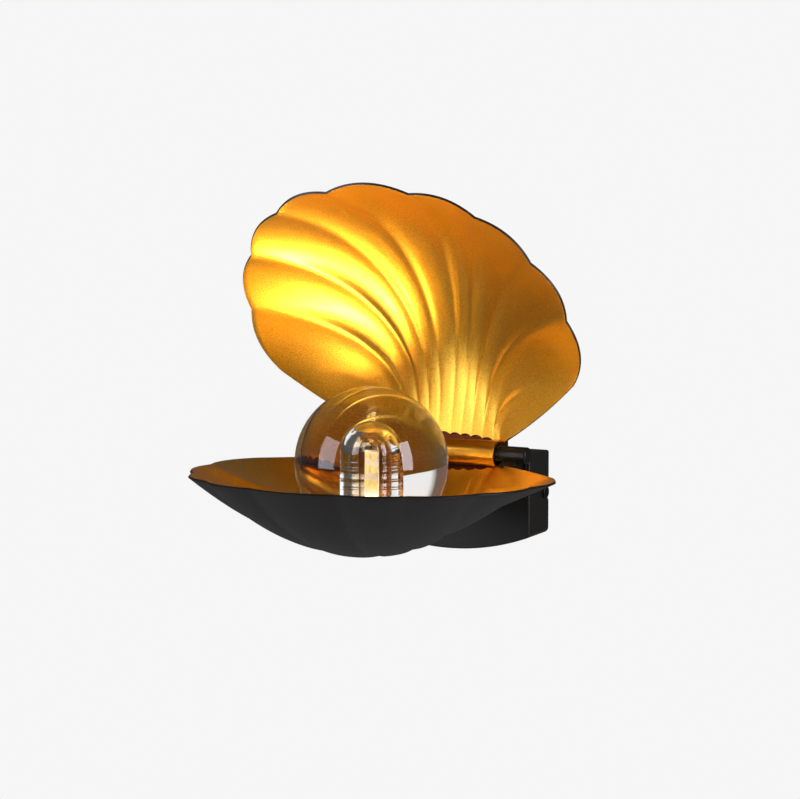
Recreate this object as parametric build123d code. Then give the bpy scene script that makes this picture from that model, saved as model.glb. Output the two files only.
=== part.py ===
# Wall sconce in the form of an open scallop: two fluted sheet-steel valves on one hinge
# barrel, a solid glass ball with a capsule lamp in the lower valve, and a wall box behind.
# Millimetres. Origin on the wall face, midway between the two fixing slots; +Z up, the
# lamp stands out from the wall towards -Y, and X runs along the hinge.
from build123d import *
import math
import os

# ---------------------------------------------------------------- clearances
RUN = 0.05            # radial, shaft turning or fixed in a bore
SCREW_PLAY = 0.25     # radial, screw in a plain hole
SEAT_GAP = 0.1        # flat pieces that face each other
SKIN_GAP = 0.3        # curved pieces that pass or rest near each other

# ---------------------------------------------------------------- wall box
BOX_END = 7.9         # from the middle of an arm's pad to the side of the box
BOX_SIDE_HEIGHT = 56.5
BOX_SAG = 12.0        # how far the bowed bottom hangs below the side walls
BOX_DEPTH = 33.0
BOX_WALL = 1.5
BOX_TOP = 30.5        # above the line of the fixing slots
BOX_LOWER_CORNER_R = 4.0
BOX_UPPER_CORNER_R = 1.5
BOX_FRONT_R = 1.2

# ---------------------------------------------------------------- wall plate
PLATE_T = 1.5
PLATE_HEIGHT = 34.0
SLOT_SPACING = 60.0
SLOT_LENGTH = 10.0
SLOT_HALF_WIDTH = 2.25
CABLE_HOLE_R = 9.0
CABLE_R = 5.0
LUG_HEIGHT = 16.0
LUG_REACH = 14.0
LUG_UP = 2.0          # height of the side screws above the fixing slots
SIDE_SCREW_OUT = 6.5  # from the wall
SIDE_HEAD_R = 4.4
SIDE_HEAD_H = 1.4
SLOT_MOUTH = 13.0     # flared mouth of the side slot, at the wall

# ---------------------------------------------------------------- M4 and M3 screws
M4_R = 1.95
M4_HEAD_R = 3.6
M4_HEAD_H = 2.4
M3_R = 1.45
M3_HEAD_R = 2.6

# ---------------------------------------------------------------- terminals and earth
TERMINAL_POLES = 3
TERMINAL_PITCH = 9.0
TERMINAL_BODY_H = 16.0
TERMINAL_BODY_OUT = 13.0
TERMINAL_BORE_R = 1.9
TERMINAL_WELL_R = 2.2
TERMINAL_SCREW_R = 1.9
TERMINAL_DOWN = 22.5
EARTH_INSET = 15.3    # from the side of the plate
EARTH_Z = -9.0
EARTH_WASHER_R = 5.0
EARTH_WASHER_T = 1.0

# ---------------------------------------------------------------- hinge
HINGE_OUT = 45.0      # axis of the hinge, from the wall
HINGE_ABOVE_BOX = 1.5
AXLE_R = 4.0
AXLE_BORE_R = 2.5
AXLE_END_COVER = 4.5   # closed end of the hinge arm, beyond the axle
BARREL_R = 9.0
BARREL_WALL = 1.5
BARREL_HALF_LENGTH = 44.0
BARREL_END_R = 0.7
BUSH_LENGTH = 9.0
LEAD_HOLE_R = 2.8
LEAD_R = 1.6
LEAD_HOLE_FALL = 40.0  # degrees below level, towards the ball
LEAD_START = 4.6       # from the hinge axis
# where the lead bends on its way down the middle flute: out from the hinge axis, and down
LEAD_BENDS = [(13.2, 11.1), (20.0, 22.3), (42.0, 37.6), (66.0, 47.3)]
LEAD_BEND_R = 8.0
LEAD_RUN_IN = 24.0     # straight into the seat, from the lamp's axis
LEAD_IN_HOLDER = 1.5
WASHER_R = 5.4
WASHER_T = 0.6
STRAP_T = 2.0
STRAP_NECK = 4.5       # front of the strap where it passes the rim plane
STRAP_REACH = 16.0
STRAP_DROP = 20.0
STRAP_TOE = 3.0
STRAP_HEEL_BACK = 2.0
STRAP_HEEL_DROP = 11.0
KNUCKLE_R = 5.75
KNUCKLE_LENGTH = 19.0
KNUCKLE_END_R = 1.6
ARM_PAD_WIDTH = 13.0
ARM_WEB = 10.0
ARM_PAD_T = 4.0
ARM_PAD_TOP = -6.0     # from the hinge axis
ARM_PAD_HEIGHT = 25.0
ARM_SCREW_PITCH = 14.0
ARM_SCREW_DEPTH = 7.0
TONGUE_REACH = 25.0
TONGUE_DROP = 23.0
TONGUE_T = 6.0

# ---------------------------------------------------------------- scallop valves
# Ridges on one half of a valve, from the middle outwards. Each starts at the mouth beside
# the hinge and ends in a notch of the rim.
RIM_REACH = [209.0, 191.7, 156.7, 111.0, 57.0]
RIM_HALF = [29.8, 72.1, 102.5, 116.8, 109.5]
MOUTH_HALF = [4.7, 12.7, 20.6, 29.2, 37.4]
EAR_HALF = 43.0        # corner of the valve beside the hinge
EAR_LIFT = 1.0         # from the corner line to the hinge end of the sheet
MOUTH_RISE = 6.2       # height of the arched mouth
MOUTH_TILT = 47.8      # angle of the mouth plane to the rim plane
TILT_POWER = 1.33      # how the growth planes close towards the rim
REACH_POWER = 1.06     # how the ridges reach out towards the rim
SPREAD_POWER = [2.07, 2.24, 2.42, 2.59, 2.76]  # how each ridge fans out
LOBE_RISE_MOUTH = 0.20  # bulge of a flute, as a share of its chord
LOBE_RISE_RIM = 0.13
EAR_RISE_MOUTH = 0.12
EAR_RISE_RIM = 0.025
GROWTH = [0.0, 0.06, 0.16, 0.30, 0.48, 0.66, 0.84, 1.0]
SHEET = 1.5
BOWL_DEPTH = 52.0
BOWL_HALF_LENGTH = 105.0
RIM_OFFSET = 7.8       # rim plane to hinge axis
LOWER_TILT = 1.7       # tip of the lower valve above level
OPEN_ANGLE = 56.8      # upper valve above level, as photographed

# ---------------------------------------------------------------- ball, seat and lamp
BALL_R = 50.0
BALL_OUT = 101.9       # from the hinge axis
BALL_UP = 3.95
BALL_FLAT_R = 20.0
CAVITY_R = 13.5
CAVITY_TOP = 22.0      # above the hinge axis
GASKET_R = 19.5
GASKET_BORE_R = 14.5
GASKET_T = 1.5
LIP_T = 2.0
LIP_RISE = 0.5         # of the lip above the flat of the ball
DISH_T = 2.0
SEAT_FOOT_R = 16.0
SEAT_FOOT_H = 4.0
SEAT_NECK_R = 13.5
SEAT_FLOOR = 2.4
SEAT_BLANK = 5.0      # of the turned blank below the floor, before it is cut to the flutes
SEAT_SINK = 1.9        # floor of the bore above the valve's lowest inner point
SEAT_SCREW_X = 9.3
SEAT_SCREW_TIP = 0.8   # below the floor of the bore
SEAT_HEAD_H = 0.7
SEAT_HEAD_SUNK = 0.1   # face of the head above the lowest line of the valve
HOLDER_R = 10.5
HOLDER_H = 15.0
PIN_HALF_PITCH = 4.5
PIN_R = 0.8
PIN_DEPTH = 9.0
LAMP_BASE_X = 14.0
LAMP_BASE_Y = 10.0
LAMP_BASE_H = 9.0
CAPSULE_R = 8.2
CAPSULE_WALL = 0.8
CAPSULE_H = 45.0
BOARD_X = 10.0
BOARD_T = 1.2
BOARD_H = 36.0
CHIP = 2.8
CHIP_T = 0.8
CHIP_ROWS = 6

# ---------------------------------------------------------------- worked out
hinge_up = BOX_TOP + HINGE_ABOVE_BOX
box_front = HINGE_OUT - BOX_DEPTH          # from the hinge axis back to the box
strap_in = BARREL_HALF_LENGTH + WASHER_T + 2 * SEAT_GAP
strap_out = strap_in + STRAP_T
knuckle_in = strap_out + WASHER_T + 2 * SEAT_GAP
arm_mid = knuckle_in + ARM_PAD_WIDTH / 2
axle_half_length = knuckle_in + KNUCKLE_LENGTH - AXLE_END_COVER
box_half_width = arm_mid + BOX_END
ball_flat = BALL_UP - math.sqrt(BALL_R ** 2 - BALL_FLAT_R ** 2)
parts = {}


def hinge_frame(shape):
    """Move a shape drawn about the hinge axis to its place in front of the wall."""
    return Pos(0, -HINGE_OUT, hinge_up) * shape


def lamp_frame(shape):
    """Move a shape drawn about the upright axis of the ball, heights from the hinge."""
    return hinge_frame(Pos(0, -BALL_OUT, 0) * shape)


def rod_x(radius, x0, x1):
    """Round bar along the hinge axis from x0 to x1."""
    return Pos((x0 + x1) / 2, 0, 0) * Rot(0, 90, 0) * Cylinder(radius, abs(x1 - x0))


def slab_x(outline, x0, x1):
    """Prism along X from an outline of (y, z) points."""
    points = [Vector(x0, y, z) for y, z in outline]
    face = make_face(Polyline(*points, close=True))
    return extrude(face, amount=x1 - x0, dir=(1, 0, 0))


def turned(outline):
    """Body of revolution about the upright axis from an outline of (radius, height)."""
    points = [(r, 0, z) for r, z in outline]
    return revolve(make_face(Polyline(*points, close=True)), Axis.Z)


def pan_screw(radius, length, head_r, head_h):
    """Screw along +Z from its head; the underside of the head is at height 0."""
    head = Pos(0, 0, -head_h / 2) * Cylinder(head_r, head_h)
    head = fillet(head.edges().filter_by(GeomType.CIRCLE).sort_by(Axis.Z)[:1], 0.45 * head_h)
    cross = Pos(0, 0, -head_h) * (Box(1.4 * head_r, 0.6, head_h) + Box(0.6, 1.4 * head_r, head_h))
    return head - cross + Pos(0, 0, length / 2) * Cylinder(radius, length)


# ================================================================ wall box
def box_outline(inset):
    """Front view of the box: flat top, upright sides, bowed bottom."""
    half = box_half_width - inset
    top = BOX_TOP - inset
    side = BOX_TOP - BOX_SIDE_HEIGHT + inset
    low = BOX_TOP - BOX_SIDE_HEIGHT - BOX_SAG + inset
    edges = [
        Line((-half, 0, side), (-half, 0, top)),
        Line((-half, 0, top), (half, 0, top)),
        Line((half, 0, top), (half, 0, side)),
        ThreePointArc((half, 0, side), (0, 0, low), (-half, 0, side)),
    ]
    return make_face(Wire(edges))


def box_block(inset, depth):
    """Solid of the box outline from the wall forwards, with rounded corners."""
    block = extrude(box_outline(inset), amount=depth, dir=(0, -1, 0))
    along = block.edges().filter_by(Axis.Y)
    low = along.sort_by(Axis.Z)[:2]
    block = fillet(low, BOX_LOWER_CORNER_R - inset)
    if BOX_UPPER_CORNER_R > inset:
        high = block.edges().filter_by(Axis.Y).sort_by(Axis.Z)[-2:]
        block = fillet(high, BOX_UPPER_CORNER_R - inset)
    return block


def side_slot():
    """Open slot for a side screw in each side wall, flared where it meets the wall."""
    screw_slot = M4_R + SCREW_PLAY
    flare = (SLOT_MOUTH / 2 - screw_slot) * 0.75
    reach = SIDE_SCREW_OUT
    outline = [
        (1, LUG_UP + SLOT_MOUTH / 2), (0, LUG_UP + SLOT_MOUTH / 2),
        (-flare, LUG_UP + screw_slot), (-reach, LUG_UP + screw_slot),
        (-reach, LUG_UP - screw_slot), (-flare, LUG_UP - screw_slot),
        (0, LUG_UP - SLOT_MOUTH / 2), (1, LUG_UP - SLOT_MOUTH / 2),
    ]
    wide = box_half_width + 1
    end = Pos(0, -reach, LUG_UP) * rod_x(screw_slot, -wide, wide)
    return slab_x(outline, -wide, wide) + end


def arm_screw_places():
    """(x, z) of the four screws that hold the hinge arms, z from the hinge axis."""
    middle = ARM_PAD_TOP - ARM_PAD_HEIGHT / 2
    return [(side * arm_mid, middle + step * ARM_SCREW_PITCH / 2)
            for side in (-1, 1) for step in (-1, 1)]


def wall_box():
    shell = box_block(0, BOX_DEPTH)
    front = shell.faces().sort_by(Axis.Y)[0]
    shell = fillet(front.edges(), BOX_FRONT_R)
    shell = shell - box_block(BOX_WALL, BOX_DEPTH - BOX_WALL) - side_slot()
    for x, z in arm_screw_places():
        hole = Rot(90, 0, 0) * Cylinder(M4_R + SCREW_PLAY, 4 * BOX_WALL)
        shell = shell - Pos(x, -BOX_DEPTH + BOX_WALL / 2, hinge_up + z) * hole
    return shell


parts["wall_box"] = wall_box()


# ================================================================ wall plate and its fittings
lug_outer = box_half_width - BOX_WALL - 2 * SEAT_GAP
earth_x = -(lug_outer - EARTH_INSET)


def wall_plate():
    plate = Pos(0, -PLATE_T / 2, 0) * Box(2 * lug_outer, PLATE_T, PLATE_HEIGHT)
    for side in (-1, 1):
        lug = Box(PLATE_T, LUG_REACH, LUG_HEIGHT)
        plate += Pos(side * (lug_outer - PLATE_T / 2), -LUG_REACH / 2, LUG_UP) * lug
        slot = Rot(90, 0, 0) * extrude(SlotOverall(SLOT_LENGTH, 2 * SLOT_HALF_WIDTH), 2 * PLATE_T, both=True)
        plate -= Pos(side * SLOT_SPACING / 2, 0, 0) * slot
    plate -= Pos(0, -SIDE_SCREW_OUT, LUG_UP) * rod_x(M4_R + RUN, -lug_outer - 1, lug_outer + 1)
    plate -= Rot(90, 0, 0) * Cylinder(CABLE_HOLE_R, 4 * PLATE_T)
    plate -= Pos(earth_x, 0, EARTH_Z) * Rot(90, 0, 0) * Cylinder(M4_R + RUN, 4 * PLATE_T)
    return plate


def cable_grommet():
    groove = CABLE_HOLE_R - RUN
    flange = CABLE_HOLE_R + 2
    outline = [
        (CABLE_R, 0), (groove, 0), (groove, PLATE_T + SEAT_GAP), (flange, PLATE_T + SEAT_GAP),
        (flange, PLATE_T + 2.5), (CABLE_R + 1, PLATE_T + 3.5), (CABLE_R, PLATE_T + 3.5),
    ]
    return Rot(90, 0, 0) * turned(outline)


def terminal_block():
    width = TERMINAL_POLES * TERMINAL_PITCH
    middle = -PLATE_T - SEAT_GAP - TERMINAL_BODY_OUT / 2
    block = Pos(0, middle, -TERMINAL_DOWN) * Box(width, TERMINAL_BODY_OUT, TERMINAL_BODY_H)
    block = fillet(block.edges().filter_by(Axis.Z), 1.0)
    for pole in range(TERMINAL_POLES):
        x = (pole - (TERMINAL_POLES - 1) / 2) * TERMINAL_PITCH
        block -= Pos(x, middle, -TERMINAL_DOWN) * Cylinder(TERMINAL_BORE_R, TERMINAL_BODY_H + 2)
        for step in (-1, 1):
            well = Rot(90, 0, 0) * Cylinder(TERMINAL_WELL_R, TERMINAL_BODY_OUT)
            block -= Pos(x, middle - TERMINAL_BODY_OUT / 2, -TERMINAL_DOWN + step * TERMINAL_BODY_H / 4) * well
    return block


def terminal_screws():
    middle = -PLATE_T - SEAT_GAP - TERMINAL_BODY_OUT / 2
    screws = []
    for pole in range(TERMINAL_POLES):
        x = (pole - (TERMINAL_POLES - 1) / 2) * TERMINAL_PITCH
        for step in (-1, 1):
            barrel = Rot(90, 0, 0) * (Cylinder(TERMINAL_SCREW_R, 4) - Pos(0, 0, 2) * Box(3, 0.7, 1.4))
            screws.append(Pos(x, middle - 2.5, -TERMINAL_DOWN + step * TERMINAL_BODY_H / 4) * barrel)
    return Compound(children=screws)


def side_screws():
    screws = []
    for side in (-1, 1):
        screw = pan_screw(M4_R, BOX_WALL + LUG_REACH / 2, SIDE_HEAD_R, SIDE_HEAD_H)
        place = Pos(side * (box_half_width + SEAT_GAP), -SIDE_SCREW_OUT, LUG_UP)
        screws.append(place * Rot(0, -side * 90, 0) * screw)
    return Compound(children=screws)


def earth_screw():
    screw = pan_screw(M4_R, PLATE_T + EARTH_WASHER_T + SEAT_GAP, M4_HEAD_R, M4_HEAD_H)
    return Pos(earth_x, -PLATE_T - EARTH_WASHER_T - 2 * SEAT_GAP, EARTH_Z) * Rot(-90, 0, 0) * screw


def earth_washer():
    ring = Cylinder(EARTH_WASHER_R, EARTH_WASHER_T) - Cylinder(M4_R + RUN, 2 * EARTH_WASHER_T)
    return Pos(earth_x, -PLATE_T - SEAT_GAP - EARTH_WASHER_T / 2, EARTH_Z) * Rot(90, 0, 0) * ring


parts["wall_plate"] = wall_plate()
parts["cable_grommet"] = cable_grommet()
parts["terminal_block"] = terminal_block()
parts["terminal_screws"] = terminal_screws()
parts["side_screws"] = side_screws()
parts["earth_screw"] = earth_screw()
parts["earth_washer"] = earth_washer()


# ================================================================ scallop valves
def ridge_point(index, growth):
    """Half-width and reach of a ridge on one growth plane, 0 at the mouth and 1 at the rim."""
    share = MOUTH_HALF[index] / (EAR_HALF + EAR_LIFT)
    start = MOUTH_RISE * math.sqrt(1 - share ** 2)
    reach = start + (RIM_REACH[index] - start) * growth ** REACH_POWER
    spread = (RIM_HALF[index] - MOUTH_HALF[index]) * growth ** SPREAD_POWER[index]
    return MOUTH_HALF[index] + spread, reach


def plane_tilt(growth):
    return math.radians(MOUTH_TILT) * (1 - growth ** TILT_POWER)


def lobe_rise(growth):
    return LOBE_RISE_MOUTH + (LOBE_RISE_RIM - LOBE_RISE_MOUTH) * growth


def drawn_depth():
    """Depth that the growth planes alone give the middle flute, to a tenth of a millimetre."""
    depths = []
    for growth in (step / 100 for step in range(101)):
        half, reach = ridge_point(0, growth)
        depths.append((reach + 2 * half * lobe_rise(growth)) * math.sin(plane_tilt(growth)))
    return round(max(depths), 1)


deepening = BOWL_DEPTH / drawn_depth()


def growth_line(growth, inset):
    """Closed wire on one growth plane: an arc for each flute, and the hinge line.

    The growth planes turn about the hinge side of the rim plane. An inset draws the line
    of the inner skin, further in all round and nearer the rim plane.
    """
    tilt = plane_tilt(growth)
    count = len(RIM_REACH)
    half = [(EAR_HALF, EAR_LIFT)] + [ridge_point(i, growth) for i in reversed(range(count))]
    line = half + [(-x, reach) for x, reach in reversed(half)]
    ear = EAR_RISE_MOUTH + (EAR_RISE_RIM - EAR_RISE_MOUTH) * growth
    lobe = lobe_rise(growth)

    def place(x, reach):
        out, down = reach * math.cos(tilt), deepening * reach * math.sin(tilt)
        middle = BOWL_HALF_LENGTH
        out = middle + (out - middle) * (1 - inset / BOWL_HALF_LENGTH)
        return Vector(x * (1 - inset / RIM_HALF[3]), -out, -down * (1 - inset / BOWL_DEPTH))

    edges = []
    last = len(line) - 2
    for i, ((x0, r0), (x1, r1)) in enumerate(zip(line, line[1:])):
        rise = ear if i in (0, last) else lobe
        crest = ((x0 + x1) / 2 + rise * (r1 - r0), (r0 + r1) / 2 + rise * (x0 - x1))
        edges.append(ThreePointArc(place(x0, r0), place(*crest), place(x1, r1)))
    edges.append(Line(place(*line[-1]), place(*line[0])))
    return Wire(edges)


def bowl(inset):
    return Solid.make_loft([growth_line(growth, inset) for growth in GROWTH])


def to_lower(shape):
    """Place a valve drawn with its rim plane level, below the hinge axis."""
    return Rot(-LOWER_TILT, 0, 0) * (Pos(0, 0, -RIM_OFFSET) * shape)


def to_upper(shape):
    """The upper valve mirrors the lower one and stands open."""
    return Rot(-OPEN_ANGLE, 0, 0) * (Pos(0, 0, RIM_OFFSET) * shape.mirror(Plane.XY))


valve_floor = -RIM_OFFSET - BOWL_DEPTH + BALL_OUT * math.sin(math.radians(LOWER_TILT)) + SHEET
seat_head_top = valve_floor - SHEET + SEAT_HEAD_SUNK + SEAT_HEAD_H
barrel_reach = BARREL_HALF_LENGTH + SKIN_GAP
valve_outside = bowl(0)
valve_inside = bowl(SHEET)
barrel_room = rod_x(BARREL_R + SKIN_GAP, -barrel_reach, barrel_reach)


def valve():
    """Thin fluted valve, open at the rim and at its arched mouth beside the hinge."""
    flat = valve_inside.faces().filter_by(GeomType.PLANE)
    mouth = flat.sort_by(SortBy.AREA)[0]
    opening = extrude(mouth, amount=3 * SHEET, dir=mouth.normal_at(mouth.center()))
    return valve_outside - valve_inside - opening - Pos(0, 0, RIM_OFFSET) * barrel_room


def seat_screw_holes():
    """Two holes through the bottom of the lower valve, sunk for the screw heads."""
    holes = []
    for side in (-1, 1):
        hole = Cylinder(M3_R + SCREW_PLAY, BOWL_DEPTH / 2)
        holes.append(Pos(side * SEAT_SCREW_X, -BALL_OUT, -RIM_OFFSET - BOWL_DEPTH) * hole)
        sink = Cylinder(M3_HEAD_R + SCREW_PLAY, BOWL_DEPTH)
        holes.append(Pos(side * SEAT_SCREW_X, -BALL_OUT, seat_head_top - BOWL_DEPTH / 2) * sink)
    return holes


def mouth_plate():
    """Flat web that closes the arched mouth down to the hinge barrel."""
    mouth = valve_outside.faces().filter_by(GeomType.PLANE).sort_by(SortBy.AREA)[0]
    web = extrude(mouth, amount=SHEET, dir=mouth.normal_at(mouth.center()))
    web -= Pos(0, 0, RIM_OFFSET) * rod_x(BARREL_R + SKIN_GAP, -barrel_reach, barrel_reach)
    return web.solids().sort_by(SortBy.VOLUME)[-1]


one_valve = valve()
lower_valve = to_lower(one_valve)
for hole in seat_screw_holes():
    lower_valve = lower_valve - hole
parts["lower_shell"] = hinge_frame(lower_valve)
parts["upper_shell"] = hinge_frame(to_upper(one_valve))
parts["lower_mouth_plate"] = hinge_frame(to_lower(mouth_plate()))
parts["upper_mouth_plate"] = hinge_frame(to_upper(mouth_plate()))


# ================================================================ hinge
def hinge_arm(side):
    """Arm from the box front to the hinge end, with a tongue under the lower valve."""
    x0, x1 = knuckle_in, knuckle_in + KNUCKLE_LENGTH
    web0, web1 = arm_mid - ARM_WEB / 2, arm_mid + ARM_WEB / 2
    knuckle = rod_x(KNUCKLE_R, x0, x1)
    knuckle = fillet(knuckle.edges().filter_by(GeomType.CIRCLE).sort_by(Axis.X)[-1:], KNUCKLE_END_R)
    pad_low = ARM_PAD_TOP - ARM_PAD_HEIGHT
    back = box_front - SEAT_GAP
    pad = Pos(arm_mid, back - ARM_PAD_T / 2, ARM_PAD_TOP - ARM_PAD_HEIGHT / 2)
    arm = knuckle + pad * Box(ARM_PAD_WIDTH, ARM_PAD_T, ARM_PAD_HEIGHT)
    web = [
        (KNUCKLE_R * 0.8, KNUCKLE_R * 0.6), (back - ARM_PAD_T / 2, ARM_PAD_TOP),
        (back - ARM_PAD_T / 2, pad_low), (-TONGUE_REACH * 0.5, -TONGUE_DROP),
        (-TONGUE_REACH, -TONGUE_DROP), (-TONGUE_REACH, -TONGUE_DROP + TONGUE_T),
        (-KNUCKLE_R * 0.8, -KNUCKLE_R * 0.6), (0, 0),
    ]
    arm += slab_x(web, web0, web1)
    arm -= to_lower(valve_outside)
    arm -= rod_x(AXLE_R + RUN, x0 - 1, axle_half_length + SEAT_GAP)
    for x, z in arm_screw_places():
        if x > 0:
            hole = Rot(90, 0, 0) * Cylinder(M4_R + RUN, 2 * ARM_SCREW_DEPTH)
            arm -= Pos(x, back, z) * hole
    arm = arm.solids().sort_by(SortBy.VOLUME)[-1]
    return hinge_frame(arm if side > 0 else arm.mirror(Plane.YZ))


def arm_screws():
    screws = []
    for x, z in arm_screw_places():
        screw = pan_screw(M4_R, BOX_WALL + ARM_SCREW_DEPTH - 1, M4_HEAD_R, M4_HEAD_H)
        seat = box_front + BOX_WALL + SEAT_GAP
        screws.append(hinge_frame(Pos(x, seat, z) * Rot(90, 0, 0) * screw))
    return Compound(children=screws)


def hinge_barrel():
    tube = rod_x(BARREL_R, -BARREL_HALF_LENGTH, BARREL_HALF_LENGTH)
    tube = fillet(tube.edges().filter_by(GeomType.CIRCLE), BARREL_END_R)
    tube -= rod_x(BARREL_R - BARREL_WALL, -BARREL_HALF_LENGTH - 1, BARREL_HALF_LENGTH + 1)
    hole = Rot(LEAD_HOLE_FALL, 0, 0) * (Pos(0, -BARREL_R, 0) * (Rot(90, 0, 0) * Cylinder(LEAD_HOLE_R, 3 * BARREL_WALL)))
    return hinge_frame(tube - hole)


def lead_grommet():
    """Rubber ring in the barrel wall, where the lamp's leads come out behind the ball."""
    inner, outer = BARREL_R - BARREL_WALL, BARREL_R
    outline = [
        (LEAD_R, inner - 0.8), (LEAD_HOLE_R - RUN, inner - 0.8), (LEAD_HOLE_R - RUN, outer + 0.2),
        (LEAD_HOLE_R + 0.9, outer + 0.2), (LEAD_HOLE_R + 0.9, outer + 0.9), (LEAD_R, outer + 1.3),
    ]
    return hinge_frame(Rot(LEAD_HOLE_FALL, 0, 0) * (Rot(90, 0, 0) * turned(outline)))


def barrel_bush(side):
    x0, x1 = BARREL_HALF_LENGTH - BUSH_LENGTH, BARREL_HALF_LENGTH
    bush = rod_x(BARREL_R - BARREL_WALL - RUN, x0, x1) - rod_x(AXLE_R + RUN, x0 - 1, x1 + 1)
    return hinge_frame(bush if side > 0 else bush.mirror(Plane.YZ))


def washer_pair(start):
    """One washer at each end of the hinge, from start outwards."""
    washer = rod_x(WASHER_R, start, start + WASHER_T) - rod_x(AXLE_R + RUN, start - 1, start + WASHER_T + 1)
    return Compound(children=[hinge_frame(washer), hinge_frame(washer.mirror(Plane.YZ))])


def upper_strap(side):
    """Eye round the axle with a foot welded to the back of the upper valve."""
    eye = rod_x(KNUCKLE_R, strap_in, strap_out)
    rim = -RIM_OFFSET - 2 * SEAT_GAP
    foot = [
        (-KNUCKLE_R * 0.9, 0), (-STRAP_NECK, rim), (-STRAP_REACH, rim), (-STRAP_REACH, -STRAP_DROP),
        (-STRAP_REACH + STRAP_TOE, -STRAP_DROP), (STRAP_HEEL_BACK, -STRAP_HEEL_DROP),
        (KNUCKLE_R * 0.95, 0),
    ]
    strap = eye + slab_x(foot, strap_in, strap_out)
    for gap in (0, SEAT_GAP):
        strap -= Pos(0, gap, -RIM_OFFSET - gap) * valve_outside
    strap -= rod_x(AXLE_R + RUN, strap_in - 1, strap_out + 1)
    strap = strap.solids().sort_by(SortBy.VOLUME)[-1]
    strap = Rot(-OPEN_ANGLE, 0, 0) * strap.mirror(Plane.XY)
    return hinge_frame(strap if side > 0 else strap.mirror(Plane.YZ))


def axle():
    rod = rod_x(AXLE_R, -axle_half_length, axle_half_length)
    bore = rod_x(AXLE_BORE_R, -axle_half_length - 1, axle_half_length + 1)
    return hinge_frame(rod - bore)


parts["hinge_arm_left"] = hinge_arm(-1)
parts["hinge_arm_right"] = hinge_arm(1)
parts["arm_screws"] = arm_screws()
parts["axle"] = axle()
parts["hinge_barrel"] = hinge_barrel()
parts["lead_grommet"] = lead_grommet()
parts["barrel_bush_left"] = barrel_bush(-1)
parts["barrel_bush_right"] = barrel_bush(1)
parts["spring_washers"] = washer_pair(BARREL_HALF_LENGTH + SEAT_GAP)
parts["friction_washers"] = washer_pair(strap_out + SEAT_GAP)
parts["upper_strap_left"] = upper_strap(-1)
parts["upper_strap_right"] = upper_strap(1)


# ================================================================ ball, seat and lamp
bore_floor = valve_floor + SEAT_SINK + SEAT_FLOOR
gasket_floor = ball_flat - GASKET_T
dish_floor = gasket_floor - DISH_T
lip_bore = BALL_FLAT_R + LIP_T
lead_end_up = bore_floor + LEAD_R + RUN


def ball_seat():
    """Turned pedestal on the valve's flutes; its dish holds the gasket, its bore the holder."""
    bore = HOLDER_R + RUN
    blank_floor = valve_floor - SEAT_BLANK
    foot_top = bore_floor + SEAT_FOOT_H - SEAT_FLOOR
    outline = [
        (0, blank_floor), (SEAT_FOOT_R, blank_floor), (SEAT_FOOT_R, foot_top),
        (SEAT_NECK_R, foot_top + 1.5), (SEAT_NECK_R, dish_floor - 1.5),
        (lip_bore, dish_floor), (lip_bore + LIP_T, dish_floor + 1),
        (lip_bore + LIP_T, ball_flat + LIP_RISE), (lip_bore, ball_flat + LIP_RISE),
        (lip_bore, gasket_floor), (bore, gasket_floor), (bore, bore_floor), (0, bore_floor),
    ]
    seat = turned(outline)
    air = Pos(0, BALL_OUT, SEAT_GAP) * to_lower(valve_inside)
    seat = seat & air
    for side in (-1, 1):
        low, high = blank_floor, bore_floor - SEAT_SCREW_TIP + SEAT_GAP
        seat -= Pos(side * SEAT_SCREW_X, 0, (low + high) / 2) * Cylinder(M3_R + RUN, high - low)
    duct = Rot(90, 0, 0) * Cylinder(LEAD_R + RUN, SEAT_FOOT_R)
    seat -= Pos(0, SEAT_FOOT_R, lead_end_up) * duct
    return seat.solids().sort_by(SortBy.VOLUME)[-1]


def seat_gasket():
    outline = [(GASKET_BORE_R, gasket_floor), (GASKET_R, gasket_floor), (GASKET_R, ball_flat), (GASKET_BORE_R, ball_flat)]
    return turned(outline)


def seat_screws():
    screws = []
    head_seat = seat_head_top - SEAT_GAP
    for side in (-1, 1):
        screw = pan_screw(M3_R, bore_floor - SEAT_SCREW_TIP - head_seat, M3_HEAD_R, SEAT_HEAD_H)
        screws.append(lamp_frame(Pos(side * SEAT_SCREW_X, 0, head_seat) * screw))
    return Compound(children=screws)


def lamp_lead():
    """Lead from the barrel to the lampholder, down the middle flute of the lower valve."""
    fall = math.radians(LEAD_HOLE_FALL)
    points = [(0, -LEAD_START * math.cos(fall), -LEAD_START * math.sin(fall))]
    points += [(0, -out, -down) for out, down in LEAD_BENDS]
    points += [(0, -BALL_OUT + LEAD_RUN_IN, lead_end_up)]
    points += [(0, -BALL_OUT + HOLDER_R - LEAD_IN_HOLDER, lead_end_up)]
    route = FilletPolyline(*points, radius=LEAD_BEND_R)
    return sweep(Plane(route ^ 0) * Circle(LEAD_R - RUN), path=route)


def glass_ball():
    ball = Pos(0, 0, BALL_UP) * Sphere(BALL_R)
    ball -= Pos(0, 0, ball_flat - BALL_R) * Box(2 * BALL_R, 2 * BALL_R, 2 * BALL_R)
    dome = CAVITY_TOP - CAVITY_R
    cavity = Pos(0, 0, dome) * Sphere(CAVITY_R)
    cavity += Pos(0, 0, (dome + ball_flat) / 2) * Cylinder(CAVITY_R, dome - ball_flat)
    return ball - cavity


holder_floor = bore_floor + SEAT_GAP
holder_top = holder_floor + HOLDER_H


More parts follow.
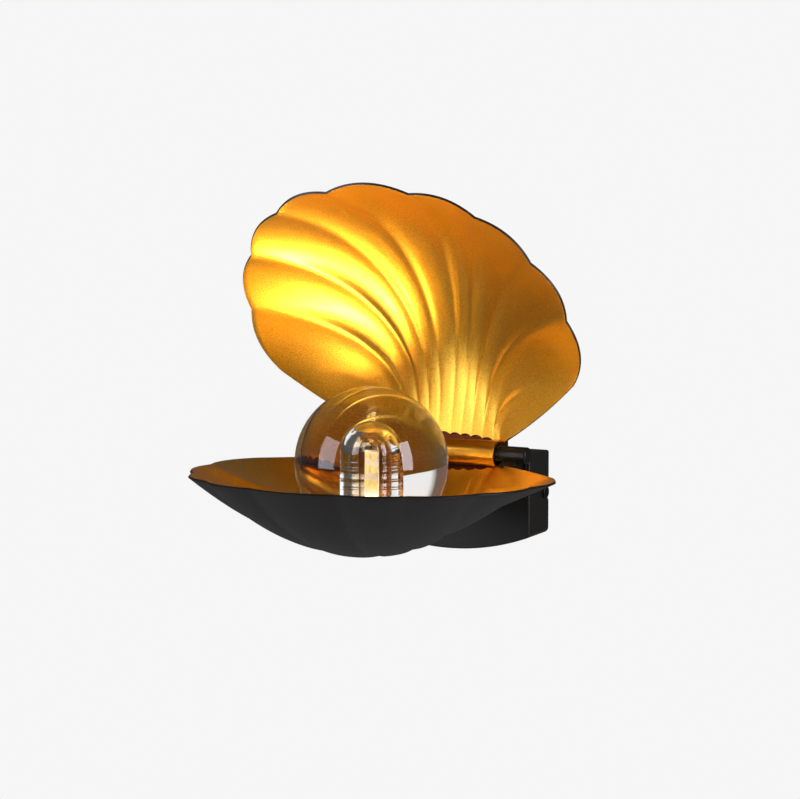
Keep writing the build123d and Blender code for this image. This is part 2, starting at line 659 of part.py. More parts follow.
def lamp_holder():
    body = Pos(0, 0, (holder_floor + holder_top) / 2) * Cylinder(HOLDER_R, HOLDER_H)
    body = chamfer(body.edges().filter_by(GeomType.CIRCLE).sort_by(Axis.Z)[-1:], 1.2)
    for side in (-1, 1):
        hole = Cylinder(PIN_R + RUN, 2 * PIN_DEPTH + 2)
        body -= Pos(side * PIN_HALF_PITCH, 0, holder_top) * hole
    entry = Rot(90, 0, 0) * Cylinder(LEAD_R + RUN, 4 * LEAD_IN_HOLDER)
    body -= Pos(0, HOLDER_R, lead_end_up) * entry
    return body


base_floor = holder_top + SEAT_GAP
base_top = base_floor + LAMP_BASE_H


def lamp_base():
    base = Pos(0, 0, (base_floor + base_top) / 2) * Box(LAMP_BASE_X, LAMP_BASE_Y, LAMP_BASE_H)
    base = fillet(base.edges().filter_by(Axis.Z), 3.0)
    return chamfer(base.edges().group_by(Axis.Z)[-1], 0.8)


def lamp_pins():
    pins = []
    for side in (-1, 1):
        pin = Pos(side * PIN_HALF_PITCH, 0, base_floor - PIN_DEPTH / 2) * Cylinder(PIN_R, PIN_DEPTH)
        pins.append(lamp_frame(pin))
    return Compound(children=pins)


def lamp_board():
    low = base_top + SEAT_GAP
    return Pos(0, 0, low + BOARD_H / 2) * Box(BOARD_X, BOARD_T, BOARD_H)


def lamp_chips():
    chips = []
    low = base_top + SEAT_GAP
    for row in range(CHIP_ROWS):
        z = low + BOARD_H * (row + 0.5) / CHIP_ROWS
        for face in (-1, 1):
            for column in (-1, 1):
                y = face * (BOARD_T + CHIP_T) / 2
                chip = Pos(column * BOARD_X / 4, y, z) * Box(CHIP, CHIP_T, CHIP)
                chips.append(lamp_frame(chip))
    return Compound(children=chips)


def lamp_capsule():
    """Thin clear glass cover of the lamp, domed at the top and open at its base."""
    low, top = base_top + SEAT_GAP, base_top + SEAT_GAP + CAPSULE_H
    outer = Pos(0, 0, top - CAPSULE_R) * Sphere(CAPSULE_R)
    outer += Pos(0, 0, (low + top - CAPSULE_R) / 2) * Cylinder(CAPSULE_R, top - CAPSULE_R - low)
    bore = CAPSULE_R - CAPSULE_WALL
    inner = Pos(0, 0, top - CAPSULE_R) * Sphere(bore)
    inner += Pos(0, 0, (low - 1 + top - CAPSULE_R) / 2) * Cylinder(bore, top - CAPSULE_R - low + 1)
    return outer - inner


parts["ball_seat"] = lamp_frame(ball_seat())
parts["seat_gasket"] = lamp_frame(seat_gasket())
parts["seat_screws"] = seat_screws()
parts["glass_ball"] = lamp_frame(glass_ball())
parts["lamp_lead"] = hinge_frame(lamp_lead())
parts["lamp_holder"] = lamp_frame(lamp_holder())
parts["lamp_base"] = lamp_frame(lamp_base())
parts["lamp_pins"] = lamp_pins()
parts["lamp_board"] = lamp_frame(lamp_board())
parts["lamp_chips"] = lamp_chips()
parts["lamp_capsule"] = lamp_frame(lamp_capsule())

os.makedirs("parts", exist_ok=True)
for name, shape in parts.items():
    export_step(shape, f"parts/{name}.step")
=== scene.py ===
# Looks of the open scallop wall light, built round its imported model. Metres.
import math

import bmesh
import bpy
from mathutils import Matrix, Vector


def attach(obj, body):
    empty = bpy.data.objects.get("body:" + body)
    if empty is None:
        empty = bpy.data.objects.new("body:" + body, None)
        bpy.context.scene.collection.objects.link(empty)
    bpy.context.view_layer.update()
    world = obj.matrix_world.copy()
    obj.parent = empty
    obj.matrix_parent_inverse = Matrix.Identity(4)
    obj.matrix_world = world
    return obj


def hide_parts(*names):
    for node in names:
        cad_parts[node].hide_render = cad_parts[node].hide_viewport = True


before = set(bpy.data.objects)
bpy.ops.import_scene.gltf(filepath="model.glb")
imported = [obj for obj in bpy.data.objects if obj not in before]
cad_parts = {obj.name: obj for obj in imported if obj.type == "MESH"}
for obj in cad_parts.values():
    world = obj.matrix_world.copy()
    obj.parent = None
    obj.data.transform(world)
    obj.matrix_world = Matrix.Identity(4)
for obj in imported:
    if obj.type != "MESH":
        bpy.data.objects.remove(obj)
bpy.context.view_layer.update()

# ---------------------------------------------------------------- camera
# A long lens looks down a little at the lamp from its right, 27 degrees round from straight
# in front of the wall.
hinge = Vector((0, -0.045, 0.032))
camera_turn, camera_rise = math.radians(26.7), math.radians(6.45)
camera_back = Vector((
    math.sin(camera_turn) * math.cos(camera_rise),
    -math.cos(camera_turn) * math.cos(camera_rise),
    math.sin(camera_rise),
))
camera_from_hinge = Vector((0.7398, -1.5316, 0.2272))
camera_data = bpy.data.cameras.new("camera")
camera_data.lens = 112.5
camera_data.sensor_width = 36
camera = bpy.data.objects.new("camera", camera_data)
camera.location = hinge + camera_from_hinge
camera.rotation_mode = "QUATERNION"
camera.rotation_quaternion = (-camera_back).to_track_quat("-Z", "Y")
bpy.context.scene.collection.objects.link(camera)
bpy.context.scene.camera = camera
bpy.context.scene.view_settings.view_transform = "Standard"

# ---------------------------------------------------------------- studio
# Pale floor well below the lamp, an even white room, and two upright soft boxes, one each
# side of the camera. The room looks brighter than the light that it gives, both to the eye
# and through the glass where a ray goes on towards the wall.


def linear(code):
    """The linear colour of an sRGB hex code."""
    shares = [int(code[i:i + 2], 16) / 255 for i in (1, 3, 5)]
    return [*(c / 12.92 if c <= 0.04045 else ((c + 0.055) / 1.055) ** 2.4 for c in shares), 1.0]


def add_node(tree, kind, settings, inputs):
    """Adds a node; an input is a value, or (node, output name) to link."""
    made = tree.nodes.new(kind)
    for key, value in settings.items():
        setattr(made, key, value)
    for key, value in inputs.items():
        socket = made.inputs[key]
        if isinstance(value, tuple) and isinstance(value[0], bpy.types.Node):
            tree.links.new(value[0].outputs[value[1]], socket)
        else:
            socket.default_value = value
    return made


room_light, room_look = 0.10, 1.0    # what the room gives the lamp, and how bright it looks
room = bpy.data.worlds.new("room")
room.use_nodes = True
room.node_tree.nodes.clear()
ray = add_node(room.node_tree, "ShaderNodeLightPath", {}, {})
toward = add_node(room.node_tree, "ShaderNodeTexCoord", {}, {})
direction = add_node(room.node_tree, "ShaderNodeSeparateXYZ", {}, {
    "Vector": (toward, "Generated")})
behind = add_node(room.node_tree, "ShaderNodeMapRange", {}, {
    "Value": (direction, "Y"), "From Min": 0.25, "From Max": 0.4})
through = add_node(room.node_tree, "ShaderNodeMath", {"operation": "MULTIPLY"}, {
    0: (behind, "Result"), 1: (ray, "Is Transmission Ray")})
seen = add_node(room.node_tree, "ShaderNodeMath", {"operation": "MAXIMUM"}, {
    0: (ray, "Is Camera Ray"), 1: (through, "Value")})
level = add_node(room.node_tree, "ShaderNodeMapRange", {}, {
    "Value": (seen, "Value"), "To Min": room_light, "To Max": room_look})
glow = add_node(room.node_tree, "ShaderNodeBackground", {}, {
    "Color": linear("#F6F6F6"), "Strength": (level, "Result")})
add_node(room.node_tree, "ShaderNodeOutputWorld", {}, {"Surface": (glow, "Background")})
bpy.context.scene.world = room

floor_radius, floor_level = 30.0, -0.6
floor_mesh = bpy.data.meshes.new("floor")
floor_disc = bmesh.new()
bmesh.ops.create_circle(floor_disc, cap_ends=True, segments=96, radius=floor_radius)
bmesh.ops.translate(floor_disc, verts=floor_disc.verts, vec=(0, 0, floor_level))
floor_disc.to_mesh(floor_mesh)
floor_disc.free()
floor = bpy.data.objects.new("floor", floor_mesh)
bpy.context.scene.collection.objects.link(floor)
# matte white paint, lit so evenly that it looks as bright as the room
floor_paint = bpy.data.materials.new("matte_white_floor_paint")
floor_paint.use_nodes = True
floor_tree = floor_paint.node_tree
floor_shader = floor_tree.nodes["Principled BSDF"]
floor_shader.inputs["Base Color"].default_value = linear("#D8D8D6")
floor_shader.inputs["Roughness"].default_value = 0.9
floor_ray = add_node(floor_tree, "ShaderNodeLightPath", {}, {})
floor_glow = add_node(floor_tree, "ShaderNodeEmission", {}, {"Color": linear("#F6F6F6")})
floor_mix = add_node(floor_tree, "ShaderNodeMixShader", {}, {
    "Fac": (floor_ray, "Is Camera Ray"), 1: (floor_shader, "BSDF"), 2: (floor_glow, "Emission")})
floor_output = floor_tree.nodes["Material Output"]
floor_tree.links.new(floor_mix.outputs["Shader"], floor_output.inputs["Surface"])
floor_mesh.materials.append(floor_paint)

lit_middle = Vector((0, -0.147, 0.036))
box_distance, box_rise = 1.2, 0.2
for side, turn, width, height, watts in (
    ("left", -43.0, 0.62, 0.95, 8.5),
    ("right", 82.0, 0.36, 0.9, 9.0),
):
    soft_box = bpy.data.lights.new("soft_box_" + side, "AREA")
    soft_box.shape = "RECTANGLE"
    soft_box.size, soft_box.size_y = width, height
    soft_box.energy = watts
    soft_box.color = linear("#FBF8FF")[:3]
    stand = bpy.data.objects.new("soft_box_" + side, soft_box)
    across = math.radians(turn)
    outwards = Vector((math.sin(across), -math.cos(across), box_rise))
    stand.location = lit_middle + box_distance * outwards
    stand.rotation_mode = "QUATERNION"
    stand.rotation_quaternion = (lit_middle - stand.location).to_track_quat("-Z", "Y")
    stand.visible_camera = False
    bpy.context.scene.collection.objects.link(stand)

# ---------------------------------------------------------------- scallop valves
# Two fluted bowls pressed from 1.5 mm steel sheet. The outside has a matte black powder
# coat, which wraps round the cut edge; the inside is sprayed with gold metallic lacquer.
# Sizes in mm. The five ridges of one side are listed from the middle outwards.
flutes = 11
rim_reach = [209.0, 191.7, 156.7, 111.0, 57.0]
rim_half = [29.8, 72.1, 102.5, 116.8, 109.5]
mouth_half = [4.7, 12.7, 20.6, 29.2, 37.4]
spread_power = [2.07, 2.24, 2.42, 2.59, 2.76]
reach_power = 1.06
flute_rise, flute_rise_lost = 0.20, 0.07    # bulge of a flute at the mouth, less at the rim,
ear_rise, ear_rise_lost = 0.12, 0.095       # as a share of its width
arc_power, crisp_gain, crisp_from = 2, 0.8, 0.12
ear_half, ear_reach = 43.0, 1.0        # corner of the ear, from the middle and from the axis
mouth_reach, mouth_oval = 6.2, 44.0    # the mouth's curve: its depth and half its width
mouth_tilt, tilt_power = 47.8, 1.33    # degrees that the mouth hangs below the rim's plane
rim_offset = 7.8                       # from the hinge's axis to the rim's plane
half_length = 105.0                    # from the hinge's axis to the middle of the bowl
barrel_wrap, wrap_half = 10.9, 44.5    # the skin keeps clear of the barrel and its ends
lower_tilt, open_angle = 1.7, 56.8     # of the rims' planes above level, in degrees
sheet_thickness = 1.5
row_power = 1.25                       # gathers the mesh's rows near the mouth


def finish_material(name):
    """An empty material with its tree, its shader and the piece's own coordinates."""
    made = bpy.data.materials.new(name)
    made.use_nodes = True
    tree = made.node_tree
    return made, tree, tree.nodes["Principled BSDF"], add_node(tree, "ShaderNodeTexCoord", {}, {})


def coat(name, dark, light, patch_mm, grain_mm, relief_mm, rough, metallic=0.0):
    """A sprayed or cast finish: cloudy colour, fine grain in the relief and in the gloss."""
    made, tree, shader, place = finish_material(name)
    cloud = add_node(tree, "ShaderNodeTexNoise", {}, {
        "Vector": (place, "Object"), "Scale": 1000 / patch_mm, "Detail": 4.0, "Roughness": 0.6})
    colour = add_node(tree, "ShaderNodeMix", {"data_type": "RGBA"}, {
        "Factor": (cloud, "Fac"), "A": linear(dark), "B": linear(light)})
    grain = add_node(tree, "ShaderNodeTexNoise", {}, {
        "Vector": (place, "Object"), "Scale": 1000 / grain_mm, "Detail": 2.0})
    gloss = add_node(tree, "ShaderNodeMapRange", {}, {
        "Value": (grain, "Fac"), "From Min": 0.3, "From Max": 0.7,
        "To Min": rough - 0.06, "To Max": rough + 0.08})
    relief = add_node(tree, "ShaderNodeBump", {}, {
        "Height": (grain, "Fac"), "Distance": relief_mm / 1000, "Strength": 1.0})
    shader.inputs["Metallic"].default_value = metallic
    tree.links.new(colour.outputs["Result"], shader.inputs["Base Color"])
    tree.links.new(gloss.outputs["Result"], shader.inputs["Roughness"])
    tree.links.new(relief.outputs["Normal"], shader.inputs["Normal"])
    return made


# matte black powder coat: a fine pebbled skin that spreads every highlight wide
black_coat = coat("matte_black_powder_coat", "#0E0C09", "#1B1712",
    patch_mm=40, grain_mm=0.9, relief_mm=0.02, rough=0.44)

# gold metallic lacquer over the pressed sheet: its flake sparkles and leaves dark specks. The
# real flake is about 0.1 mm; it is drawn near 0.8 mm, as coarse as it needs to show.
gold_lacquer, gold_tree, gold_shader, gold_place = finish_material("gold_metallic_lacquer")
flake = add_node(gold_tree, "ShaderNodeTexNoise", {}, {
    "Vector": (gold_place, "Object"), "Scale": 1300.0, "Detail": 3.0, "Roughness": 0.7})
drift = add_node(gold_tree, "ShaderNodeTexNoise", {}, {
    "Vector": (gold_place, "Object"), "Scale": 28.0, "Detail": 3.0})
fleck = add_node(gold_tree, "ShaderNodeValToRGB", {}, {"Fac": (flake, "Fac")})
dark_end, light_end = fleck.color_ramp.elements
dark_end.position, dark_end.color = 0.32, linear("#A8690F")
light_end.position, light_end.color = 0.62, linear("#F8CC50")
warm = add_node(gold_tree, "ShaderNodeMix", {"data_type": "RGBA"}, {
    "Factor": (drift, "Fac"), "A": (fleck, "Color"), "B": linear("#E6B03C")})
satin = add_node(gold_tree, "ShaderNodeMapRange", {}, {
    "Value": (flake, "Fac"), "From Min": 0.3, "From Max": 0.7, "To Min": 0.29, "To Max": 0.4})
orange_peel = add_node(gold_tree, "ShaderNodeBump", {}, {
    "Height": (flake, "Fac"), "Distance": 0.000014, "Strength": 1.0})
gold_shader.inputs["Metallic"].default_value = 1.0
gold_shader.inputs["Coat Weight"].default_value = 0.15
gold_shader.inputs["Coat Roughness"].default_value = 0.2
gold_tree.links.new(warm.outputs["Result"], gold_shader.inputs["Base Color"])
gold_tree.links.new(satin.outputs["Result"], gold_shader.inputs["Roughness"])
gold_tree.links.new(orange_peel.outputs["Normal"], gold_shader.inputs["Normal"])


def growth_line(growth):
    """(x, reach) of a valve's ears and ridges at one stage of growth, from ear to ear."""
    half_line = [(ear_half, ear_reach)]
    for i in (4, 3, 2, 1, 0):
        start = mouth_reach * math.sqrt(1 - (mouth_half[i] / mouth_oval) ** 2)
        half_line.append((
            mouth_half[i] + (rim_half[i] - mouth_half[i]) * growth ** spread_power[i],
            start + (rim_reach[i] - start) * growth ** reach_power,
        ))
    return half_line + [(-x, reach) for x, reach in reversed(half_line)]


def valve_point(across, growth):
    """Outer skin of a valve: across counts its flutes, growth runs from mouth to rim."""
    line = growth_line(growth)
    i = min(int(across), flutes - 1)
    t = across - i
    (x0, r0), (x1, r1) = line[i], line[i + 1]
    if i in (0, flutes - 1):
        rise = ear_rise - ear_rise_lost * growth
    else:
        rise = flute_rise - flute_rise_lost * growth
    # above the power of an arc, the flute is flatter and the creases beside it are crisper
    crispness = arc_power + crisp_gain * min(growth / crisp_from, 1 - growth ** 3)
    bulge = rise * (1 - abs(2 * t - 1) ** crispness)
    x = x0 + (x1 - x0) * t + bulge * (r1 - r0)
    reach = r0 + (r1 - r0) * t - bulge * (x1 - x0)
    tilt = math.radians(mouth_tilt) * (1 - growth ** tilt_power)
    return Vector((x, -reach * math.cos(tilt), -reach * math.sin(tilt)))


def valve(name, cad_node, body, place):
    """A fine mesh of one valve: outer skin, then its sheet thickness inwards."""
    shell = bmesh.new()
    bmesh.ops.create_grid(shell, x_segments=flutes * 16, y_segments=84, size=1.0)
    for v in shell.verts:
        across = (v.co.x + 1) / 2 * flutes
        growth = ((v.co.y + 1) / 2) ** row_power
        point = valve_point(across, growth)
        on_axis = Vector((point.x, 0, rim_offset))
        off = point - on_axis
        if abs(point.x) < wrap_half and off.length < barrel_wrap:
            point = on_axis + off.normalized() * barrel_wrap
        v.co = point / 1000
    inside = [v for v in shell.verts if not v.is_boundary]
    bmesh.ops.smooth_vert(
        shell, verts=inside, factor=0.4, use_axis_x=True, use_axis_y=True, use_axis_z=True)
    bmesh.ops.transform(shell, matrix=place, verts=shell.verts)
    # the skin has to face outwards, because the sheet's thickness goes in from it
    shell.faces.ensure_lookup_table()
    middle = sum((v.co for v in shell.verts), Vector()) / len(shell.verts)
    rim_middle = place @ Vector((0, -half_length / 1000, 0))
    sample = min(shell.faces, key=lambda f: (f.calc_center_median() - middle).length)
    if sample.normal.dot(middle - rim_middle) < 0:
        bmesh.ops.reverse_faces(shell, faces=shell.faces)
    for face in shell.faces:
        face.smooth = True
    mesh = bpy.data.meshes.new(name)
    shell.to_mesh(mesh)
    shell.free()
    piece = bpy.data.objects.new(name, mesh)
    bpy.context.scene.collection.objects.link(piece)
    mesh.materials.append(black_coat)
    mesh.materials.append(gold_lacquer)
    wall = piece.modifiers.new("sheet", "SOLIDIFY")
    wall.thickness = sheet_thickness / 1000
    wall.offset = -1
    wall.material_offset = 1
    wall.material_offset_rim = 0
    wall.use_quality_normals = True
    edge = piece.modifiers.new("cut_edge", "BEVEL")
    edge.width = 0.0004
    edge.segments = 2
    edge.limit_method = "ANGLE"
    edge.angle_limit = math.radians(50)
    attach(piece, body)
    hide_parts(cad_node)


def turn_x(degrees):
    return Matrix.Rotation(math.radians(degrees), 4, "X")


at_hinge = Matrix.Translation(hinge)
below_axis = Matrix.Translation((0, 0, -rim_offset / 1000))
upside_down = Matrix.Diagonal((1, 1, -1, 1))
lower_place = at_hinge @ turn_x(-lower_tilt) @ below_axis
upper_place = at_hinge @ turn_x(-open_angle) @ upside_down @ below_axis
valve("lower_valve", "lower_shell", "wall_mount", lower_place)
valve("upper_valve", "upper_shell", "upper_valve", upper_place)

# ---------------------------------------------------------------- hinge barrel
# Brass tube between the valves, turned and lacquered satin. Two bushes carry it on the axle,
# and the lamp's lead leaves it behind the ball.

# satin lacquered brass: a warm tube whose fine turning lines draw the highlight out round it
tube_gold, tube_tree, tube_shader, tube_place = finish_material("satin_lacquered_brass")
along = add_node(tube_tree, "ShaderNodeSeparateXYZ", {}, {"Vector": (tube_place, "Object")})
turning = add_node(tube_tree, "ShaderNodeTexNoise", {"noise_dimensions": "1D"}, {
    "W": (along, "X"), "Scale": 1400.0, "Detail": 2.0})
tarnish = add_node(tube_tree, "ShaderNodeTexNoise", {}, {
    "Vector": (tube_place, "Object"), "Scale": 90.0})
tube_colour = add_node(tube_tree, "ShaderNodeMix", {"data_type": "RGBA"}, {
    "Factor": (tarnish, "Fac"), "A": linear("#B8791F"), "B": linear("#E2A83C")})
tube_lines = add_node(tube_tree, "ShaderNodeBump", {}, {
    "Height": (turning, "Fac"), "Distance": 0.00002, "Strength": 1.0})
tube_shader.inputs["Metallic"].default_value = 1.0
tube_shader.inputs["Roughness"].default_value = 0.28
tube_tree.links.new(tube_colour.outputs["Result"], tube_shader.inputs["Base Color"])
tube_tree.links.new(tube_lines.outputs["Normal"], tube_shader.inputs["Normal"])


def dress(material, *names):
    """Gives CAD nodes a better material."""
    for name in names:
        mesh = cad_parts[name].data
        mesh.materials.clear()
        mesh.materials.append(material)


dress(tube_gold, "hinge_barrel")

# ---------------------------------------------------------------- webs in the mouths
# Flat steel webs that close each valve's arched mouth down to the barrel. Each belongs to its
# valve and is sprayed with it.

# gold lacquer darkened to brown: painted shade for the recess behind the mouths, which the lamp's
# light barely reaches
gold_lacquer_painted_shade = coat("gold_lacquer_darkened_as_painted_shade", "#3A1604", "#6A300C",
    patch_mm=6, grain_mm=0.6, relief_mm=0.01, rough=0.45, metallic=0.8)
dress(gold_lacquer_painted_shade, "lower_mouth_plate", "upper_mouth_plate")

# ---------------------------------------------------------------- axle, bushes, washers
# A hollow steel axle runs through the barrel in two brass bushes. Spring and friction washers
# of blackened steel clamp the upper valve's straps on it.

# turned brass: plain yellow metal, a little brighter than the barrel
dress(coat("turned_brass", "#A67A2C", "#C9A14C",
    patch_mm=6, grain_mm=0.8, relief_mm=0.01, rough=0.32, metallic=1.0),
    "barrel_bush_left", "barrel_bush_right")
# ground steel: a clean grey shaft with a soft sheen
dress(coat("ground_steel", "#8B8C8E", "#A9AAAC",
    patch_mm=8, grain_mm=0.7, relief_mm=0.008, rough=0.28, metallic=1.0), "axle")
# blackened steel: dark brown-black metal that shines only at its edges
blackened_steel = coat("blackened_steel", "#1C1B1A", "#3A3835",
    patch_mm=3, grain_mm=0.6, relief_mm=0.01, rough=0.34, metallic=0.9)
dress(blackened_steel, "spring_washers", "friction_washers")

# ---------------------------------------------------------------- arms and straps
# The arms are cast and screwed to the box from inside; the straps are cut from plate and
# welded to the back of the upper valve. All have the valves' black coat.

# black powder coat on castings: a little glossier than on the sheet, with a narrow highlight
arm_coat = coat("black_powder_coat_on_castings", "#0F0D0A", "#1B1813",
    patch_mm=18, grain_mm=0.8, relief_mm=0.02, rough=0.34)
arm_coat.node_tree.nodes["Principled BSDF"].inputs["Specular IOR Level"].default_value = 0.3
dress(arm_coat, "hinge_arm_left", "hinge_arm_right", "upper_strap_left", "upper_strap_right")

# ---------------------------------------------------------------- wall box and plate
# Folded steel box with a bowed bottom. Side screws pull it onto the lugs of a plate, which is
# screwed to the wall and carries the terminals and the earth screw.

# black powder coat on sheet: the same pebbled skin, even over the flat sides
dress(coat("black_powder_coat_on_sheet", "#0E0D0B", "#191713",
    patch_mm=60, grain_mm=0.9, relief_mm=0.02, rough=0.46), "wall_box")
# galvanised sheet: dull grey with faint patches of zinc
dress(coat("galvanised_sheet", "#8C8E8F", "#B4B6B7",
    patch_mm=14, grain_mm=1.2, relief_mm=0.01, rough=0.42, metallic=1.0), "wall_plate")
# polyamide: an off-white moulding with a weak shine
dress(coat("terminal_polyamide", "#CFCBC0", "#DEDAD0",
    patch_mm=10, grain_mm=0.8, relief_mm=0.01, rough=0.5), "terminal_block")

# ---------------------------------------------------------------- screws
# Plated steel screws inside the box, which nobody sees, and blackened ones where they show:
# at the box's sides and under the seat.

# bright zinc plate: cool silver with a slight haze
dress(coat("bright_zinc_plate", "#8E8F92", "#B9BABD",
    patch_mm=3, grain_mm=0.6, relief_mm=0.01, rough=0.34, metallic=1.0),
    "arm_screws", "terminal_screws", "earth_screw", "earth_washer")
dress(blackened_steel, "side_screws", "seat_screws")

# ---------------------------------------------------------------- grommets and lead
# Rubber rings line the cable's hole and the hole in the barrel where the lamp's lead comes
# out. The lead lies in the middle flute and ends in the lampholder.

# black rubber: soft and matte, without a highlight
dress(coat("moulded_black_rubber", "#0E0E0E", "#1B1B1B",
    patch_mm=5, grain_mm=0.6, relief_mm=0.02, rough=0.62), "lead_grommet", "cable_grommet")
# lead sheath: smoother black, with a line of light along it
dress(coat("smooth_black_lead_sheath", "#101010", "#1A1A1A",
    patch_mm=12, grain_mm=0.7, relief_mm=0.01, rough=0.42), "lamp_lead")

# ---------------------------------------------------------------- glass ball
# Solid lead-free crystal, 100 mm, ground flat underneath and bored upwards for the lamp.
# The outside is polished; the bore keeps the fine rings of its drill.
lamp_axis = Vector((0, hinge.y - 0.1019, 0))
ball_radius, ball_centre, ball_flat_radius = 0.050, hinge.z + 0.00395, 0.020
ball_flat = ball_centre - math.sqrt(ball_radius ** 2 - ball_flat_radius ** 2)
bore_radius, bore_top, bore_chamfer = 0.0135, hinge.z + 0.022, 0.0006


def arc(centre_height, radius, first, last, steps):
    """Points (radius, height) on a circle about the upright axis, angles from level."""
    points = []
    for i in range(steps + 1):
        angle = math.radians(first + (last - first) * i / steps)
        points.append((radius * math.cos(angle), centre_height + radius * math.sin(angle)))
    return points


def turned(name, profile, steps, sharp_degrees):
    """A closed body of revolution about the lamp's axis from (radius, height) points."""
    body = bmesh.new()
    ring = [body.verts.new((max(r, 0.0), 0, z)) for r, z in profile]
    for a, b in zip(ring, ring[1:]):
        body.edges.new((a, b))
    bmesh.ops.spin(
        body, geom=body.verts[:] + body.edges[:], cent=(0, 0, 0), axis=(0, 0, 1),
        dvec=(0, 0, 0), angle=2 * math.pi, steps=steps, use_merge=True, use_duplicate=False)
    bmesh.ops.remove_doubles(body, verts=body.verts, dist=1e-7)
    bmesh.ops.recalc_face_normals(body, faces=body.faces)
    bmesh.ops.translate(body, verts=body.verts, vec=lamp_axis)
    for face in body.faces:
        face.smooth = True
    mesh = bpy.data.meshes.new(name)
    body.to_mesh(mesh)
    body.free()
    mesh.set_sharp_from_angle(angle=math.radians(sharp_degrees))
    piece = bpy.data.objects.new(name, mesh)
    bpy.context.scene.collection.objects.link(piece)
    return piece


flat_angle = -math.degrees(math.acos(ball_flat_radius / ball_radius))
ball_profile = arc(ball_centre, ball_radius, 90, flat_angle, 96)
ball_profile += [(bore_radius + bore_chamfer, ball_flat), (bore_radius, ball_flat + bore_chamfer)]
ball_profile += arc(bore_top - bore_radius, bore_radius, 0, 90, 24)
glass_ball = turned("crystal_ball", ball_profile, 160, 40)

# polished crystal: clear and hard-edged, with swirls too weak to see except where they bend
# the flutes behind it
crystal, crystal_tree, crystal_shader, crystal_place = finish_material("polished_crystal")
swirl = add_node(crystal_tree, "ShaderNodeTexNoise", {}, {
    "Vector": (crystal_place, "Object"), "Scale": 45.0, "Detail": 1.0})
swell = add_node(crystal_tree, "ShaderNodeBump", {}, {
    "Height": (swirl, "Fac"), "Distance": 0.00004, "Strength": 0.5})
crystal_shader.inputs["Base Color"].default_value = linear("#FDFDFB")
crystal_shader.inputs["Roughness"].default_value = 0.0
crystal_shader.inputs["IOR"].default_value = 1.52
crystal_shader.inputs["Transmission Weight"].default_value = 1.0
crystal_tree.links.new(swell.outputs["Normal"], crystal_shader.inputs["Normal"])

# bored crystal: the drill's rings break up what is seen through the bore, and its warm tint is a
# painted reflection of the brown valve round it
bored, bored_tree, bored_shader, bored_place = finish_material("bored_crystal_tinted_as_painted_reflection")
height = add_node(bored_tree, "ShaderNodeSeparateXYZ", {}, {"Vector": (bored_place, "Object")})
rings = add_node(bored_tree, "ShaderNodeTexNoise", {"noise_dimensions": "1D"}, {
    "W": (height, "Z"), "Scale": 520.0, "Detail": 2.0})
drill = add_node(bored_tree, "ShaderNodeBump", {}, {
    "Height": (rings, "Fac"), "Distance": 0.00025, "Strength": 0.5})
# warm tint: painted reflection of the brown valve seen through the bore
bored_shader.inputs["Base Color"].default_value = linear("#ECD0A6")
bored_shader.inputs["Roughness"].default_value = 0.03
bored_shader.inputs["IOR"].default_value = 1.52
bored_shader.inputs["Transmission Weight"].default_value = 1.0
bored_tree.links.new(drill.outputs["Normal"], bored_shader.inputs["Normal"])

glass_ball.data.materials.append(crystal)
glass_ball.data.materials.append(bored)
for face in glass_ball.data.polygons:
    from_axis = face.center - lamp_axis - Vector((0, 0, face.center.z))
    if from_axis.length < bore_radius + bore_chamfer and face.center.z < bore_top:
        face.material_index = 1
glass_ball.visible_shadow = False
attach(glass_ball, "wall_mount")
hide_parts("glass_ball")

# ---------------------------------------------------------------- seat under the ball
# Turned aluminium pedestal, anodised gold and screwed down through the valve's floor, with a
# silicone ring under the glass and a steatite holder in its bore.

# gold anodised aluminium: satin yellow metal, paler than the lacquer
dress(coat("gold_anodised_aluminium", "#B4802F", "#D9A649",
    patch_mm=10, grain_mm=0.8, relief_mm=0.01, rough=0.3, metallic=1.0), "ball_seat")
# silicone: milky white, slightly soft in its shine
dress(coat("milky_silicone", "#C9C9C4", "#DADAD6",
    patch_mm=8, grain_mm=0.8, relief_mm=0.01, rough=0.5), "seat_gasket")
# steatite: a cream ceramic, matte because it has no glaze
dress(coat("unglazed_steatite", "#D8D4C8", "#E9E6DC",
    patch_mm=6, grain_mm=0.6, relief_mm=0.02, rough=0.6), "lamp_holder")

# ---------------------------------------------------------------- capsule lamp
# Two-pin lamp: a moulded base, a ceramic board with rows of phosphor-covered chips, and a
# thin glass cover. The chips are lit.
base_top = hinge.z - 0.026777
cover_radius, cover_wall, cover_height = 0.0082, 0.0008, 0.045
cover_low = base_top + 0.0001
cover_top = cover_low + cover_height
cover_profile = arc(cover_top - cover_radius, cover_radius, 90, 0, 20)
cover_profile += [(cover_radius, cover_low), (cover_radius - cover_wall, cover_low)]
cover_profile += arc(cover_top - cover_radius, cover_radius - cover_wall, 0, 90, 20)
lamp_cover = turned("lamp_cover", cover_profile, 64, 50)

# blown glass: a thin clear skin whose ripples throw small bent highlights
lamp_glass, cover_tree, cover_shader, cover_place = finish_material("blown_lamp_glass")
ripple = add_node(cover_tree, "ShaderNodeTexNoise", {}, {
    "Vector": (cover_place, "Object"), "Scale": 160.0, "Detail": 1.0})
wave = add_node(cover_tree, "ShaderNodeBump", {}, {
    "Height": (ripple, "Fac"), "Distance": 0.0003, "Strength": 0.6})
cover_shader.inputs["Base Color"].default_value = linear("#FCFCFA")
cover_shader.inputs["Roughness"].default_value = 0.0
cover_shader.inputs["IOR"].default_value = 1.47
cover_shader.inputs["Transmission Weight"].default_value = 1.0
cover_tree.links.new(wave.outputs["Normal"], cover_shader.inputs["Normal"])
lamp_cover.data.materials.append(lamp_glass)
lamp_cover.visible_shadow = False
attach(lamp_cover, "wall_mount")
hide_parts("lamp_capsule")

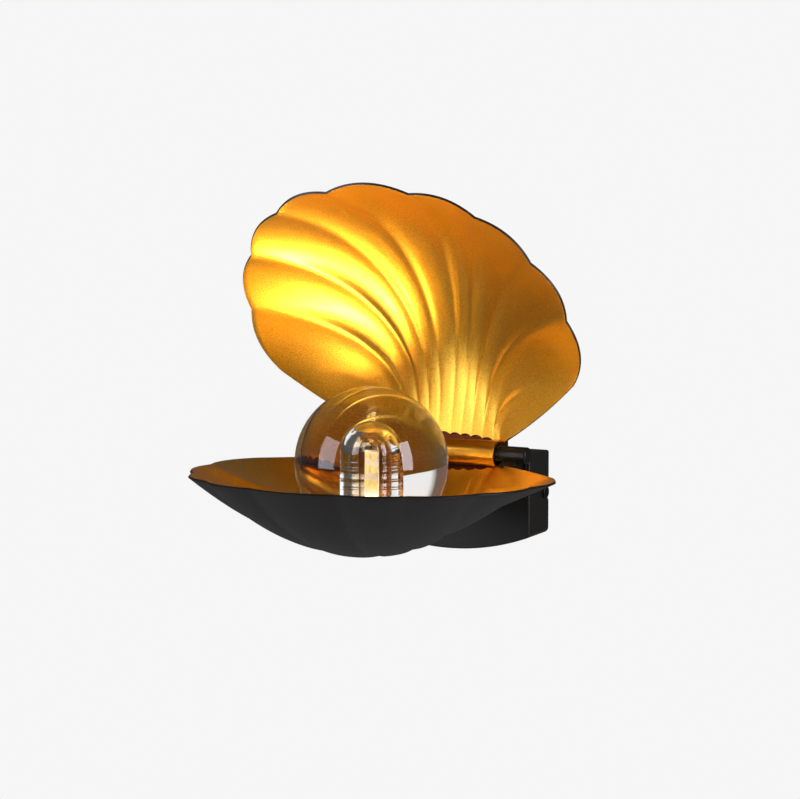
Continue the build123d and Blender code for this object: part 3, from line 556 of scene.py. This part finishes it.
# lit phosphor: pale yellow squares, white-hot in the lowest rows and only glowing higher up
glare_end = hinge.z - 0.0095
phosphor, chip_tree, chip_shader, chip_place = finish_material("lit_yellow_phosphor")
speck = add_node(chip_tree, "ShaderNodeTexNoise", {}, {
    "Vector": (chip_place, "Object"), "Scale": 2500.0, "Detail": 1.0})
chip_colour = add_node(chip_tree, "ShaderNodeMix", {"data_type": "RGBA"}, {
    "Factor": (speck, "Fac"), "A": linear("#FFC85A"), "B": linear("#FFE39C")})
chip_tree.links.new(chip_colour.outputs["Result"], chip_shader.inputs["Base Color"])
chip_shader.inputs["Roughness"].default_value = 0.4
chip_shader.inputs["Emission Color"].default_value = linear("#FFE2A6")
chip_height = add_node(chip_tree, "ShaderNodeSeparateXYZ", {}, {
    "Vector": (chip_place, "Object")})
chip_power = add_node(chip_tree, "ShaderNodeMapRange", {}, {
    "Value": (chip_height, "Z"), "From Min": glare_end, "From Max": glare_end + 0.001,
    "To Min": 60.0, "To Max": 0.35})
chip_tree.links.new(chip_power.outputs["Result"], chip_shader.inputs["Emission Strength"])
dress(phosphor, "lamp_chips")
# solder mask: a cool white board, glossy enough to mirror the chips
dress(coat("white_solder_mask", "#DDE0E2", "#EFF1F2",
    patch_mm=5, grain_mm=0.6, relief_mm=0.01, rough=0.35), "lamp_board")
# lamp base: a warmer white moulding
dress(coat("white_lamp_base", "#E0DDD4", "#F0EEE7",
    patch_mm=8, grain_mm=0.7, relief_mm=0.01, rough=0.3), "lamp_base")
# nickel wire: bright warm-grey pins
dress(coat("nickel_wire", "#9D9A92", "#B8B5AD",
    patch_mm=3, grain_mm=0.5, relief_mm=0.005, rough=0.25, metallic=1.0), "lamp_pins")

# ---------------------------------------------------------------- the lamp's light
# What the chips give the valves: most of it leaves the ball upwards and to the left, a little
# all round. The lamp's own pieces glow by themselves and take none of it.
lamp_pieces = bpy.data.collections.new("lamp_pieces")
lamp_pieces.objects.link(lamp_cover)
for name in ("lamp_chips", "lamp_board", "lamp_base", "lamp_pins"):
    lamp_pieces.objects.link(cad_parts[name])
glow_height, glow_towards = hinge.z - 0.009, Vector((-0.3, -0.05, 0.95))
upward = bpy.data.lights.new("lamp_glow_up", "AREA")
upward.shape = "DISK"
upward.size = 0.012
upward.spread = math.radians(120)
upward.energy = 0.34
around = bpy.data.lights.new("lamp_glow_around", "POINT")
around.shadow_soft_size = 0.007
around.energy = 0.03
for glow_light in (upward, around):
    glow_light.color = linear("#FFDDA8")[:3]
    glow_lamp = bpy.data.objects.new(glow_light.name, glow_light)
    glow_lamp.location = lamp_axis + Vector((0, 0, glow_height))
    glow_lamp.rotation_mode = "QUATERNION"
    glow_lamp.rotation_quaternion = glow_towards.to_track_quat("-Z", "Y")
    glow_lamp.visible_transmission = False
    glow_lamp.visible_camera = False
    bpy.context.scene.collection.objects.link(glow_lamp)
    glow_lamp.light_linking.receiver_collection = lamp_pieces
for linked in lamp_pieces.collection_objects:
    linked.light_linking.link_state = "EXCLUDE"
